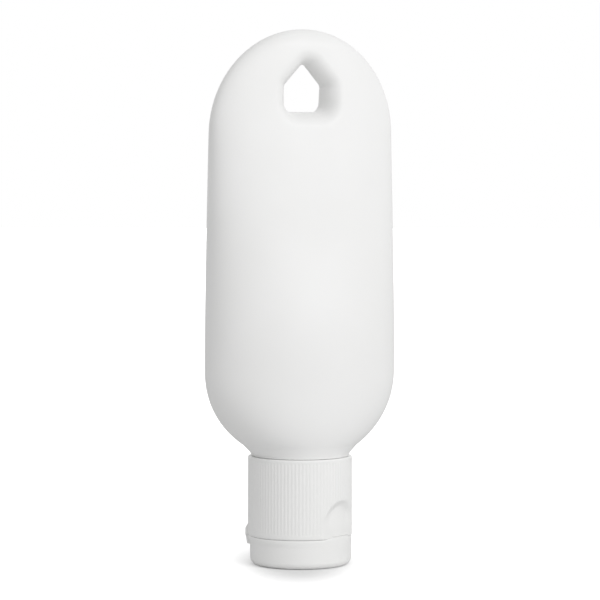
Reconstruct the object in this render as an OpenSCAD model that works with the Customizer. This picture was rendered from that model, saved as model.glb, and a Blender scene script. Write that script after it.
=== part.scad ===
// Sunscreen bottle that stands on its flip-top screw cap.
// Millimetres, +Z up, front towards -Y, origin on the bottle's axis where the lid meets the table.

/* [Neck finish] */
// Diameter of the neck at the root of its thread
neck_root_d = 17.5; // [14:0.1:24]
// Height of the thread ridge above its root
thread_depth = 1.05; // [0.7:0.05:1.4]
// Rise of the thread in one turn
thread_pitch = 3.175; // [2.6:0.025:4]
// Turns of thread on the neck
neck_turns = 1.5; // [1:0.25:1.75]
// Wall of the neck behind the thread
neck_wall = 1.45; // [1:0.05:2.2]
// Height of the collar between the neck and the shoulder
collar_h = 1; // [0.8:0.1:2]

/* [Bottle body] */
// Width across the body at its widest
body_w = 43.8; // [38:0.2:56]
// Depth of the body at its thickest
body_d = 26.2; // [24.4:0.2:34]
// Height of the curved shoulder
shoulder_h = 17.2; // [12:0.2:24]
// Height of the sides, from the shoulder to the rounded end
side_h = 52.6; // [40:0.2:80]
// Width where the rounded end begins
end_w = 42.6; // [36:0.2:54]
// Height of the rounded end
end_h = 22.7; // [20:0.1:30]
// Depth of the end at the hang hole
end_d = 9.8; // [8.4:0.1:14]
// Height over which the top edge rounds off
rim_h = 4; // [3:0.1:5]
// Wall of the moulded shell
wall = 0.9; // [0.6:0.05:1.3]

/* [Hang hole] */
// Width of the hole at its narrowest, between the two faces
hole_w = 9.4; // [6:0.1:11]
// Height of the hole from its flat side to its peak
hole_h = 10.5; // [8:0.1:12]
// Height of the slopes that run up to the peak
hole_roof_h = 4.8; // [3.6:0.1:5.6]
// Distance from the peak of the hole to the top of the bottle
hole_margin = 7.6; // [7:0.1:11]
// How far the hole widens towards each face
hole_flare = 3.4; // [1.5:0.1:4]

/* [Cap base] */
// Wall of the skirt, from the root of its thread to the crest of its ribs
skirt_wall = 1.5; // [1.3:0.05:2.4]
// Height of the base, from the parting line to its rim
base_h = 17.5; // [15.5:0.1:24]
// Thickness of the deck across the neck
deck_t = 1.5; // [1:0.1:2.2]
// Number of grip ribs round the skirt
rib_count = 90; // [40:2:110]
// Height of a grip rib
rib_depth = 0.18; // [0.1:0.02:0.26]
// Diameter of the pouring hole
orifice_d = 3.2; // [2.4:0.1:4.6]
// Depth of the thumb scoop below the ribs
scoop_depth = 1; // [0.5:0.05:1.05]
// Radius of the arch above the thumb scoop
scoop_r = 5.2; // [3.5:0.1:6]
// Height of the thumb scoop above the parting line
scoop_h = 8.4; // [7:0.1:10]

/* [Lid] */
// Height of the closed lid
lid_h = 6.5; // [5.6:0.1:9]
// Wall of the lid
lid_wall = 1.15; // [0.8:0.05:1.4]
// Thickness of the lid's outer face
lid_floor = 1.3; // [0.9:0.1:1.8]
// Radius of the edge round the outer face
lid_edge_r = 1.5; // [0.8:0.1:1.9]
// Wall of the ring that seals round the spout
seal_wall = 0.6; // [0.4:0.05:0.9]

/* [Hinge] */
// Width of the hinge block, measured straight across
hinge_w = 12.4; // [10:0.2:14]
// How far the hinge block stands out from the skirt
hinge_proud = 0.65; // [0.3:0.05:0.8]
// Thickness of the bending film
film_t = 0.25; // [0.2:0.05:0.4]
// Width of the middle film
spring_w = 2.4; // [1.6:0.1:3]
// Width of each outer film
strap_w = 1.6; // [1:0.1:2]

/* [Liner and contents] */
// Thickness of the liner ring
liner_t = 0.8; // [0.5:0.1:1.4]
// Diameter of the hole in the liner
liner_hole_d = 10; // [7:0.2:12.6]
// Height of the lotion above the bottom of the shoulder, bottle upside down
fill_h = 62; // [30:1:64]

/* [Fits] */
// Radial clearance between the thread crest and the root it faces
thread_gap = 0.2; // [0.15:0.05:0.35]
// Clearance between faces that only close on each other
face_gap = 0.05; // [0.05:0.01:0.1]
// Clearance round pieces that slide past each other
slip_gap = 0.25; // [0.2:0.05:0.4]
// Clearance between the lotion and the shell
fill_gap = 0.3; // [0.2:0.05:0.5]
// Direction of the hinge about the axis, from +X towards +Y
hinge_turn = 122; // [0:1:359]

/* [Hidden] */
$fn = 96;

body_white = [0.95, 0.95, 0.94];
cap_white = [0.93, 0.93, 0.92];
cut = 1;  // how far a cutter runs past what it cuts

// Small steps between neighbouring faces
collar_step = 0.8;  // the collar stands back from the skirt
lip_step = 0.08;    // so does the lip of the lid
lid_step = 0.3;     // and the wall of the lid, more
ear_step = 0.13;    // the lid's half of the hinge block stands back from the base's half
deck_rise = 0.4;    // the deck lies above the parting line
rim_gap = 0.3;      // between the skirt's rim and the collar

// Radii, from the neck outwards
neck_r = neck_root_d / 2;
crest_r = neck_r + thread_depth;
bore_r = neck_r - neck_wall;
skirt_bore_r = crest_r + thread_gap;
skirt_r = skirt_bore_r + skirt_wall;
collar_r = skirt_r - collar_step;
lip_r = skirt_r - lip_step;
lid_r = skirt_r - lid_step;
lid_bore_r = lid_r - lid_wall;
snap_r = lid_bore_r - slip_gap;
ear_r = skirt_r + hinge_proud;
lid_ear_r = ear_r - ear_step;

// Heights, from the table upwards
deck_z = lid_h + deck_rise;
deck_top = deck_z + deck_t;
liner_z = deck_top + face_gap;
mouth_z = liner_z + liner_t + face_gap;
rim_z = lid_h + base_h;
collar_z = rim_z + rim_gap;
body_z = collar_z + collar_h;
shoulder_z = body_z + shoulder_h;
arc_z = shoulder_z + side_h;
top_z = arc_z + end_h;
hole_peak_z = top_z - hole_margin;
hole_side_z = hole_peak_z - hole_roof_h;
hole_low_z = hole_peak_z - hole_h;
hole_mid_z = (hole_peak_z + hole_low_z) / 2;

// The hinge's axis lies below the parting line, on the flat of the hinge block
hinge_out = 0.15;
hinge_drop = 0.4;
hinge_x = skirt_r + hinge_out;
hinge_z = lid_h - hinge_drop;
hinge_flat = hinge_x - face_gap;
block_z = lid_h + 1.3;  // where the block begins to slope back to the skirt
block_slope_h = 0.95;
block_low_z = hinge_z - 1.7;
block_lean = 0.3;  // how far the lid's half slopes inwards on its way down

// Body sections: half widths and half depths at a height, drawn in by an inset for the cavity
body_facets = 72;
cavity_facets = 44;
foot_out = 0.7;    // the shoulder's foot stands out from the collar at the sides
foot_front = 0.3;  // and at the front and back
shoulder_w = 2 * (collar_r + foot_out);
shoulder_d = 2 * (collar_r + foot_front);
wide_bend = 1 - pow(shoulder_w / body_w, 2);
deep_bend = 1 - pow(shoulder_d / body_d, 2);
deep_power = 4;    // the front and back stay full, then turn under towards the foot
side_power = 1.3;
wedge_run = 16;
wedge_slope = (body_d - end_d) / 2 / (hole_mid_z - shoulder_z - wedge_run / 2);
end_square = 0.4;  // how far the section leaves a plain ellipse at the thin end

function shoulder_step(z) = (shoulder_z - z) / shoulder_h;
function half_w(z, inset) =
    z < shoulder_z ? body_w / 2 * sqrt(1 - wide_bend * pow(shoulder_step(z), 2)) - inset
    : z < arc_z ? body_w / 2 - (body_w - end_w) / 2 * pow((z - shoulder_z) / side_h, side_power) - inset
    : (end_w / 2 - inset) * sqrt(max(0, 1 - pow((z - arc_z) / (end_h - inset), 2)));
function wedge_d(z) =
    let(rise = z - shoulder_z)
    body_d / 2 - wedge_slope * (rise < wedge_run ? rise * rise / 2 / wedge_run : rise - wedge_run / 2);
function rim_round(z, inset) = sqrt(max(0, 1 - pow(max(0, z - top_z + rim_h) / (rim_h - inset), 2)));
function half_d(z, inset) =
    z < shoulder_z ? body_d / 2 * sqrt(1 - deep_bend * pow(shoulder_step(z), deep_power)) - inset
    : (wedge_d(z) - inset) * rim_round(z, inset);
function squareness(z) = 2 + end_square * max(0, min(1, (z - shoulder_z) / side_h));
function bulge(v, power) = sign(v) * pow(abs(v), 2 / power);
function section(z, inset, facets) =
    [for (i = [0 : facets - 1])
        let(turn = 360 * i / facets, power = squareness(z))
        [half_w(z, inset) * bulge(cos(turn), power), half_d(z, inset) * bulge(sin(turn), power), z]];
// Depth of the body's face at a point of the front view
function face_d(x, z) =
    let(power = squareness(z), share = min(0.98, abs(x) / half_w(z, 0)))
    half_d(z, 0) * pow(1 - pow(share, power), 1 / power);

// A closed solid through rings of points, each ring counter-clockwise seen from its far end
module loft(rings) {
    count = len(rings[0]);
    last = len(rings) - 1;
    sides = [for (k = [0 : last - 1], i = [0 : count - 1])
        let(a = k * count + i, b = k * count + (i + 1) % count)
        each [[a, a + count, b + count], [a, b + count, b]]];
    near_end = [for (i = [0 : count - 1]) i];
    far_end = [for (i = [count - 1 : -1 : 0]) last * count + i];
    polyhedron([for (ring = rings) each ring], concat([near_end, far_end], sides));
}

// A helical ridge between two radii; both ends fade into the wall that carries it
module ridge(carrier_r, free_r, start_z, turns, root_w, crest_w) {
    steps = ceil(turns * 30);
    fade = 40;
    loft([for (i = [0 : steps])
        let(turn = 360 * turns * i / steps,
            z = start_z + thread_pitch * turn / 360,
            grown = max(0.12, min(1, turn / fade, (360 * turns - turn) / fade)),
            tip_r = carrier_r + (free_r - carrier_r) * grown,
            tip_w = root_w + (crest_w - root_w) * grown,
            out_w = carrier_r > tip_r ? root_w : tip_w,
            in_w = carrier_r > tip_r ? tip_w : root_w,
            out_r = max(carrier_r, tip_r),
            in_r = min(carrier_r, tip_r))
        [for (p = [[out_r, -out_w], [in_r, -in_w], [in_r, in_w], [out_r, out_w]])
            [p[0] * cos(turn), p[0] * sin(turn), z + p[1] / 2]]]);
}

// Outline of the hang hole: an arc at each corner, as [point, outward direction] pairs
hole_low_round = 2;
hole_side_round = 1.2;
hole_peak_round = 1.3;
peak_point_z = hole_peak_z + 0.5;  // where the slopes would meet without their arc
hole_corners = [[-hole_w / 2, hole_low_z, hole_low_round], [hole_w / 2, hole_low_z, hole_low_round],
                [hole_w / 2, hole_side_z, hole_side_round], [0, peak_point_z, hole_peak_round],
                [-hole_w / 2, hole_side_z, hole_side_round]];
corner_steps = 5;
function unit(v) = v / norm(v);
function flat(p) = [p[0], p[1]];
function corner_arc(before, here, after, r) =
    let(u = unit(before - here),
        v = unit(after - here),
        half = acos(u * v) / 2,
        centre = here + unit(u + v) * r / sin(half),
        from = unit(here + u * r / tan(half) - centre),
        to = unit(here + v * r / tan(half) - centre),
        sweep = acos(from * to))
    [for (i = [0 : corner_steps])
        let(w = i / corner_steps,
            out = (from * sin((1 - w) * sweep) + to * sin(w * sweep)) / sin(sweep))
        [centre + out * r, out]];
hole_outline = [for (i = [0 : 4])
    each corner_arc(flat(hole_corners[(i + 4) % 5]), flat(hole_corners[i]),
                    flat(hole_corners[(i + 1) % 5]), hole_corners[i][2])];

// The space of the flared hole, grown by a skin for the wall that lines it
module hole_space(skin) {
    depths = [1, 0.95, 0.86, 0.72, 0.54, 0.3, 0, -0.3, -0.54, -0.72, -0.86, -0.95, -1];
    rings = [for (t = depths)
        [for (pair = hole_outline)
            let(spread = hole_flare * (1 - sqrt(1 - t * t)) + skin,
                rim = pair[0] + pair[1] * hole_flare * 0.8,
                at = pair[0] + pair[1] * spread,
                reach = face_d(rim[0], rim[1]) + (abs(t) == 1 ? cut : 0))
            [at[0], t * reach, at[1]]]];
    loft(rings);
}

module shell(inset, facets, levels) {
    loft([for (z = levels) section(z, inset, facets)]);
}

function levels(inset, shoulder_rings, side_rings, arc_rings) = concat(
    [for (i = [0 : shoulder_rings - 1]) shoulder_z - (shoulder_h - inset) * cos(90 * i / shoulder_rings)],
    [for (i = [0 : side_rings - 1]) shoulder_z + side_h * i / side_rings],
    [for (i = [0 : arc_rings]) arc_z + (end_h - inset) * sin(88 * i / arc_rings)]);

// Neck and collar, turned about the axis; the neck thickens towards the collar
module neck() {
    foot_z = mouth_z + (collar_z - mouth_z) * 0.62;
    foot_r = neck_r + 0.5;
    slope_h = 1;
    lip = 0.4;
    rotate_extrude()
        polygon([[0, mouth_z], [neck_r - lip, mouth_z], [neck_r, mouth_z + lip], [neck_r, foot_z],
                 [foot_r, foot_z + slope_h], [foot_r, collar_z], [collar_r, collar_z],
                 [collar_r, body_z + cut], [0, body_z + cut]]);
}

neck_thread_z = mouth_z + 2.2;
root_w = 1.9;
crest_w = 0.9;
sunk = 0.25;

module bottle() {
    color(body_white)
        difference() {
            union() {
                shell(0, body_facets, levels(0, 10, 9, 13));
                neck();
                ridge(neck_r - sunk, crest_r, neck_thread_z, neck_turns, root_w, crest_w);
            }
            difference() {
                shell(wall, cavity_facets, levels(wall, 7, 6, 9));
                hole_space(wall);
            }
            translate([0, 0, mouth_z - cut])
                cylinder(r = bore_r, h = body_z + wall + 2 * cut - mouth_z);
            hole_space(0);
        }
}

module lotion() {
    inset = wall + fill_gap;
    floor_z = body_z + inset;
    fill_z = body_z + fill_h;
    rise = [for (i = [0 : 5]) shoulder_z - (shoulder_h - inset) * cos(18 * i)];
    rest = [for (i = [1 : 5]) shoulder_z + (fill_z - shoulder_z) * i / 5];
    color([0.98, 0.96, 0.9])
        union() {
            shell(inset, cavity_facets, concat(rise, rest));
            translate([0, 0, mouth_z + fill_gap])
                cylinder(r = bore_r - fill_gap, h = floor_z + cut - mouth_z - fill_gap);
        }
}

// A washer that seals the mouth against the deck
module cap_liner() {
    color([0.9, 0.9, 0.86])
        translate([0, 0, liner_z])
            difference() {
                cylinder(r = skirt_bore_r - thread_depth + slip_gap, h = liner_t);
                translate([0, 0, -cut])
                    cylinder(d = liner_hole_d, h = liner_t + 2 * cut);
            }
}

// Grip ribs: one outline with a small flat-topped tooth for each rib, just inside the plain bands
rib_inset = 0.03;
rib_ring_t = 0.6;
module ribs(low_z, high_z) {
    step = 360 / rib_count;
    crest = skirt_r - rib_inset;
    valley = skirt_r - rib_depth - rib_inset;
    points = [for (i = [0 : rib_count - 1])
        each [[valley, i * step - step / 2], [crest, i * step - step / 5], [crest, i * step + step / 5]]];
    translate([0, 0, low_z])
        linear_extrude(height = high_z - low_z)
            difference() {
                polygon([for (p = points) [p[0] * cos(p[1]), p[0] * sin(p[1])]]);
                circle(r = skirt_r - rib_ring_t);
            }
}

// A block that follows the skirt's curve, flat where the films cross it
module hinge_block(low_r, high_r, low_z, high_z) {
    inner_r = skirt_bore_r + 2 * face_gap;
    intersection() {
        translate([0, 0, low_z])
            difference() {
                cylinder(r1 = low_r, r2 = high_r, h = high_z - low_z);
                translate([0, 0, -cut])
                    cylinder(r = inner_r, h = high_z - low_z + 2 * cut);
            }
        translate([0, -hinge_w / 2, low_z - cut])
            cube([hinge_flat, hinge_w, high_z - low_z + 2 * cut]);
    }
}

// Seats of the films, cut from both halves of the block
films = [[0, spring_w], [-hinge_w * 0.28, strap_w], [hinge_w * 0.28, strap_w]];
film_reach = 0.7;
module film(place, gap) {
    translate([hinge_flat - film_t - gap, films[place][0] - films[place][1] / 2 - gap,
               hinge_z - film_reach - gap])
        cube([film_t + gap + (gap > 0 ? cut : 0), films[place][1] + 2 * gap, 2 * (film_reach + gap)]);
}

module film_seats() {
    for (i = [0 : 2])
        film(i, face_gap);
}

// Arch-topped recess for the thumb, opposite the hinge; its floor follows the skirt
// and its edges slope outwards by scoop_slope for each scoop_depth
scoop_slope = 1.6;
floor_w = scoop_r - scoop_slope;
module scoop() {
    arch_z = lid_h + scoop_h - scoop_r;
    floor_r = skirt_r - scoop_depth;
    deep = floor_r - sqrt(floor_r * floor_r - floor_w * floor_w) + 0.1;
    out = deep + 2 * scoop_depth;
    out_w = scoop_r + scoop_slope;
    difference() {
        translate([deep - floor_r, 0, 0]) {
            translate([0, 0, arch_z])
                rotate([0, -90, 0])
                    rotate_extrude()
                        polygon([[0, 0], [floor_w, 0], [floor_w, deep], [out_w, out], [0, out]]);
            translate([0, 0, lid_h - cut])
                rotate([0, 0, 180])
                    linear_extrude(height = arch_z - lid_h + cut)
                        polygon([[0, -floor_w], [deep, -floor_w], [out, -out_w], [out, out_w],
                                 [deep, floor_w], [0, floor_w]]);
        }
        translate([0, 0, lid_h - 2 * cut])
            cylinder(r = floor_r, h = base_h);
    }
}

spout_r = 3.6;
spout_tip_r = 2.6;
spout_drop = 2.3;
spout_z = lid_h - spout_drop;
band_low = 1;
band_high = 0.7;

module cap_base() {
    snap_w = 1;
    snap_h = 1.5;
    snap_z = lid_h - snap_h;
    edge = 0.15;
    groove_r = skirt_r - rib_depth;
    turned = [[0, deck_z], [snap_r - snap_w, deck_z], [snap_r - snap_w, snap_z], [snap_r - edge, snap_z],
              [snap_r, snap_z + edge], [snap_r, lid_h], [skirt_r - edge, lid_h], [skirt_r, lid_h + edge],
              [skirt_r, lid_h + band_low], [groove_r, lid_h + band_low], [groove_r, rim_z - band_high],
              [skirt_r, rim_z - band_high], [skirt_r, rim_z - edge], [skirt_r - edge, rim_z],
              [skirt_bore_r, rim_z], [skirt_bore_r, deck_top], [0, deck_top]];
    thread_top = neck_thread_z + thread_pitch / 2;
    color(cap_white)
        rotate([0, 0, hinge_turn])
            difference() {
                union() {
                    rotate_extrude()
                        polygon(turned);
                    ribs(lid_h + band_low - edge, rim_z - band_high + edge);
                    translate([0, 0, spout_z])
                        cylinder(r1 = spout_tip_r, r2 = spout_r, h = deck_z - spout_z + deck_t / 2);
                    hinge_block(ear_r, ear_r, hinge_z + face_gap, block_z);
                    hinge_block(ear_r, skirt_r - rib_depth, block_z, block_z + block_slope_h);
                    rotate([0, 0, -hinge_turn])
                        ridge(skirt_bore_r + sunk, neck_r + thread_gap, thread_top, neck_turns,
                              root_w, crest_w);
                }
                translate([0, 0, spout_z - cut])
                    cylinder(d = orifice_d, h = deck_top - spout_z + 2 * cut);
                scoop();
                film_seats();
            }
}

module cap_lid() {
    lip_h = 0.5;
    lip_slope_h = 1.4;
    edge = 0.2;
    taper = 0.05;
    lid_top = lid_h - face_gap;
    foot_r = lid_r - lid_edge_r - taper;
    turned = concat(
        [[0, 0]],
        [for (i = [0 : 6]) [foot_r + lid_edge_r * sin(15 * i), lid_edge_r * (1 - cos(15 * i))]],
        [[lid_r, lid_top - lip_h - lip_slope_h], [lip_r, lid_top - lip_h], [lip_r, lid_top - edge],
         [lip_r - edge, lid_top], [lid_bore_r, lid_top], [lid_bore_r, lid_floor], [0, lid_floor]]);
    tip = 0.5;
    plug_r = orifice_d / 2 - slip_gap;
    plug_z = deck_z;
    seal_r = spout_r + slip_gap;
    seal_play = 0.9;  // between the seal ring and the deck
    seal_z = deck_z - seal_play;
    buried_z = lid_floor - 0.3;
    notch_w = hinge_w / 2 + slip_gap;
    notch_x = sqrt(lid_bore_r * lid_bore_r - notch_w * notch_w) - face_gap;
    color(cap_white)
        rotate([0, 0, hinge_turn])
            difference() {
                union() {
                    rotate_extrude()
                        polygon(turned);
                    rotate_extrude()
                        polygon([[0, buried_z], [plug_r, buried_z], [plug_r, plug_z - tip],
                                 [plug_r - tip, plug_z], [0, plug_z]]);
                    rotate_extrude()
                        polygon([[seal_r, buried_z], [seal_r + seal_wall, buried_z],
                                 [seal_r + seal_wall, seal_z], [seal_r, seal_z]]);
                    hinge_block(lid_ear_r - block_lean, lid_ear_r, block_low_z, hinge_z - face_gap);
                    thumb_lip(lid_top);
                }
                translate([notch_x, -notch_w, hinge_z - face_gap])
                    cube([skirt_r - notch_x, 2 * notch_w, lid_h]);
                translate([hinge_flat, -hinge_w / 2, 0])
                    cube([cut, hinge_w, lid_h]);
                film_seats();
            }
}

// A low tab on the lid's lip that stands in the foot of the thumb scoop
tab_h = 0.55;
tab_root_h = 0.6;  // how far the tab reaches down into the lip
tab_draft = 0.1;   // how far its outer face leans in and its top slopes
module thumb_lip(low_z) {
    inner_r = skirt_r - scoop_depth + slip_gap / 2;
    half = asin((floor_w - slip_gap) / lip_r);
    rotate([0, 0, 180 - half])
        rotate_extrude(angle = 2 * half)
            polygon([[inner_r, low_z - tab_root_h], [lip_r, low_z - tab_root_h],
                     [lip_r - tab_draft, low_z + tab_h], [inner_r, low_z + tab_h + tab_draft]]);
}

module hinge_spring() {
    color(cap_white)
        rotate([0, 0, hinge_turn])
            film(0, 0);
}

module hinge_strap_left() {
    color(cap_white)
        rotate([0, 0, hinge_turn])
            film(1, 0);
}

module hinge_strap_right() {
    color(cap_white)
        rotate([0, 0, hinge_turn])
            film(2, 0);
}

bottle();
lotion();
cap_liner();
cap_base();
cap_lid();
hinge_spring();
hinge_strap_left();
hinge_strap_right();
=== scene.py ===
from math import acos, atan2, ceil, cos, degrees, hypot, pi, radians, sin, sqrt

import bmesh
import bpy
from mathutils import Matrix, Vector


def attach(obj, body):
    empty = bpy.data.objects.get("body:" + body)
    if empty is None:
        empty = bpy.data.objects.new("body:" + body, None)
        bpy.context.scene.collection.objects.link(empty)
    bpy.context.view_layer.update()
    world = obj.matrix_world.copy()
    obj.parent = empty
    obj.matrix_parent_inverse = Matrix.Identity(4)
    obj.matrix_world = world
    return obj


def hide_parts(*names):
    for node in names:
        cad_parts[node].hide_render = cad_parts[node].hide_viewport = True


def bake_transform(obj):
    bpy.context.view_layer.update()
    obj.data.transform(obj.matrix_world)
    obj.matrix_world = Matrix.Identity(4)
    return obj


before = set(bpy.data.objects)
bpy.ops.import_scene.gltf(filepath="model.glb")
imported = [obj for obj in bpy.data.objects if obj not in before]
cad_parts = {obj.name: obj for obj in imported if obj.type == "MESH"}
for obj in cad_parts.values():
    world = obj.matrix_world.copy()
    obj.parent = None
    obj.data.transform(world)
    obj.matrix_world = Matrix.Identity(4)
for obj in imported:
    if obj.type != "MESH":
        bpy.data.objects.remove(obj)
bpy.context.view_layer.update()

mm = 0.001
weld = 1e-4              # vertices nearer than this, in millimetres, become one

# Shapes are drawn in millimetres in the CAD's frame, then brought to metres in one step


def smooth(low, high, value):
    # eases from 0 at low to 1 at high, whichever of them is larger
    t = max(0.0, min(1.0, (value - low) / (high - low)))
    return t * t * (3 - 2 * t)


def extrudeRing(bm, ring):
    # a closed ring of vertices is extruded; the new ring comes back in the same order
    count = len(ring)
    edges = [bm.edges.get((ring[i], ring[(i + 1) % count])) for i in range(count)]
    made = bmesh.ops.extrude_edge_only(bm, edges=edges)["geom"]
    fresh = {v for v in made if isinstance(v, bmesh.types.BMVert)}
    return [next(e.other_vert(v) for e in v.link_edges if e.other_vert(v) in fresh) for v in ring]


def spinProfile(bm, points, steps, closed):
    # points are (radius, height); a closed profile makes a solid with a hole along its axis
    # an eighth is spun and then copied round, which is far quicker than a full turn in small steps
    verts = [bm.verts.new((r, 0, z)) for r, z in points]
    pairs = list(zip(verts, verts[1:])) + ([(verts[-1], verts[0])] if closed else [])
    edges = [bm.edges.new(pair) for pair in pairs]
    bmesh.ops.spin(bm, geom=verts + edges, cent=(0, 0, 0), axis=(0, 0, 1), dvec=(0, 0, 0),
                   angle=pi / 4, steps=steps // 8, use_merge=False, use_duplicate=False)
    for turn in (pi / 4, pi / 2, pi):
        copied = bmesh.ops.duplicate(bm, geom=bm.verts[:] + bm.edges[:] + bm.faces[:])["geom"]
        bmesh.ops.rotate(bm, cent=(0, 0, 0), matrix=Matrix.Rotation(turn, 3, "Z"),
                         verts=[v for v in copied if isinstance(v, bmesh.types.BMVert)])
    bmesh.ops.remove_doubles(bm, verts=bm.verts[:], dist=weld)


def finishPiece(bm, name, material, body, nodes=(), sharp=35):
    # sharp is the angle in degrees from which an edge isn't shaded smooth
    bmesh.ops.recalc_face_normals(bm, faces=bm.faces[:])
    bmesh.ops.scale(bm, vec=(mm, mm, mm), verts=bm.verts[:])
    for face in bm.faces:
        face.smooth = True
    mesh = bpy.data.meshes.new(name)
    bm.to_mesh(mesh)
    bm.free()
    mesh.set_sharp_from_angle(angle=radians(sharp))
    mesh.materials.append(material)
    piece = bpy.data.objects.new(name, mesh)
    bpy.context.scene.collection.objects.link(piece)
    if body:
        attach(piece, body)
    if nodes:
        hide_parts(*nodes)
    return piece


# Materials

def newGroup(name, inputs, outputs):
    group = bpy.data.node_groups.new(name, "ShaderNodeTree")
    for label, kind, value in inputs:
        group.interface.new_socket(label, in_out="INPUT", socket_type=kind).default_value = value
    for label, kind in outputs:
        group.interface.new_socket(label, in_out="OUTPUT", socket_type=kind)
    return group, group.nodes.new("NodeGroupInput").outputs, group.nodes.new("NodeGroupOutput").inputs


def feed(tree, socket, value):
    # another node's output is linked, anything else is set on the socket itself
    if hasattr(value, "is_output"):
        tree.links.new(value, socket)
    else:
        socket.default_value = value


def noise(tree, vector, scale, detail, roughness, stretch=None):
    # stretch squeezes the pattern along an axis
    if stretch:
        mapping = tree.nodes.new("ShaderNodeMapping")
        mapping.inputs["Scale"].default_value = stretch
        tree.links.new(vector, mapping.inputs["Vector"])
        vector = mapping.outputs["Vector"]
    node = tree.nodes.new("ShaderNodeTexNoise")
    settings = {"Vector": vector, "Scale": scale, "Detail": detail, "Roughness": roughness}
    for label, value in settings.items():
        feed(tree, node.inputs[label], value)
    return node.outputs[0]


def calc(tree, operation, *values, clamp=False):
    node = tree.nodes.new("ShaderNodeMath")
    node.operation = operation
    node.use_clamp = clamp
    for socket, value in zip(node.inputs, values):
        feed(tree, socket, value)
    return node.outputs[0]


def ramp(tree, value, low, high, outLow=0.0, outHigh=1.0):
    node = tree.nodes.new("ShaderNodeMapRange")
    node.interpolation_type = "SMOOTHSTEP"
    for socket, setting in zip(node.inputs, (value, low, high, outLow, outHigh)):
        feed(tree, socket, setting)
    return node.outputs[0]


def mixColor(tree, share, first, second):
    node = tree.nodes.new("ShaderNodeMix")
    node.data_type = "RGBA"
    for place, value in ((0, share), (6, first), (7, second)):      # the colour sockets follow the plain ones
        feed(tree, node.inputs[place], value)
    return node.outputs[2]


def objectPlace(tree):
    return tree.nodes.new("ShaderNodeTexCoord").outputs["Object"]


def objectAxes(tree):
    parts = tree.nodes.new("ShaderNodeSeparateXYZ")
    tree.links.new(objectPlace(tree), parts.inputs[0])
    return parts.outputs


def moulding():
    # the skin of a moulded plastic: slow colour and gloss drift, fine grain and a soft waviness
    group, given, out = newGroup("mouldedSkin", [
        ("Color", "NodeSocketColor", (0.9, 0.9, 0.9, 1)),
        ("Shade", "NodeSocketColor", (0.85, 0.85, 0.84, 1)),
        ("Grain Scale", "NodeSocketFloat", 2500),
        ("Wave Scale", "NodeSocketFloat", 120),
        ("Wave Share", "NodeSocketFloat", 0.5),
        ("Gloss Low", "NodeSocketFloat", 0.35),
        ("Gloss High", "NodeSocketFloat", 0.45),
    ], [("Color", "NodeSocketColor"), ("Roughness", "NodeSocketFloat"), ("Height", "NodeSocketFloat")])
    place = objectPlace(group)
    drift = noise(group, place, 45, 2, 0.4)
    grain = noise(group, place, given["Grain Scale"], 2, 0.6)
    wave = noise(group, place, given["Wave Scale"], 2, 0.4)
    speck = noise(group, place, 1400, 3, 0.7)
    tone = mixColor(group, ramp(group, drift, 0.35, 0.7), given["Color"], given["Shade"])
    group.links.new(tone, out["Color"])
    mottle = calc(group, "ADD", calc(group, "MULTIPLY", drift, 0.6), calc(group, "MULTIPLY", speck, 0.4))
    gloss = ramp(group, mottle, 0.35, 0.65, given["Gloss Low"], given["Gloss High"])
    group.links.new(gloss, out["Roughness"])
    swell = calc(group, "MULTIPLY", wave, given["Wave Share"])
    group.links.new(calc(group, "ADD", grain, swell), out["Height"])
    return group


def scuffing():
    # short hairline rubs that handling leaves, thin and sparse, in two directions
    group, given, out = newGroup("handlingRubs", [
        ("Scale", "NodeSocketFloat", 300),
        ("Amount", "NodeSocketFloat", 0.5),
    ], [("Mask", "NodeSocketFloat")])
    place = objectPlace(group)
    upright, level = [ramp(group, noise(group, place, given["Scale"], 1, 0.3, stretch), 0.66, 0.74)
                      for stretch in ((7, 7, 0.5), (0.6, 7, 7))]
    rubs = calc(group, "MAXIMUM", upright, level)
    patch = ramp(group, noise(group, place, 38, 2, 0.5), 0.5, 0.68)
    worn = calc(group, "MULTIPLY", rubs, patch)
    group.links.new(calc(group, "MULTIPLY", worn, given["Amount"]), out["Mask"])
    return group


def crevices():
    # a mask of what lies inside a given radius of the axis, such as the roots of grip ribs; it carries the
    # painted shade of those recesses
    group, given, out = newGroup("ringDepth", [
        ("Deep", "NodeSocketFloat", 0.0113),
        ("Free", "NodeSocketFloat", 0.0115),
    ], [("Mask", "NodeSocketFloat")])
    axes = objectAxes(group)
    squares = [calc(group, "MULTIPLY", axes[i], axes[i]) for i in (0, 1)]
    radius = calc(group, "SQRT", calc(group, "ADD", *squares))
    group.links.new(ramp(group, radius, given["Deep"], given["Free"], 1.0, 0.0), out["Mask"])
    return group


def splitLine():
    # the line that the mould leaves where the piece crosses the plane y = 0
    group, given, out = newGroup("mouldSplit", [("Width", "NodeSocketFloat", 0.0002)],
                                 [("Mask", "NodeSocketFloat")])
    away = calc(group, "ABSOLUTE", objectAxes(group)[1])
    group.links.new(ramp(group, away, 0.0, given["Width"], 1.0, 0.0), out["Mask"])
    return group


skinGroup, rubGroup, depthGroup, splitGroup = moulding(), scuffing(), crevices(), splitLine()

plasticFinish = {
    "ior": 1.42,
    "rubScale": 320.0, "rubGloss": 0.15, "rubDepth": 0.6,       # rubs are duller and lower than the skin
    "splitWidth": 0.00022, "splitGloss": 0.05,
}


def useGroup(tree, group, **settings):
    node = tree.nodes.new("ShaderNodeGroup")
    node.node_tree = group
    for label, value in settings.items():
        node.inputs[label.replace("_", " ")].default_value = value
    return node.outputs


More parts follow.
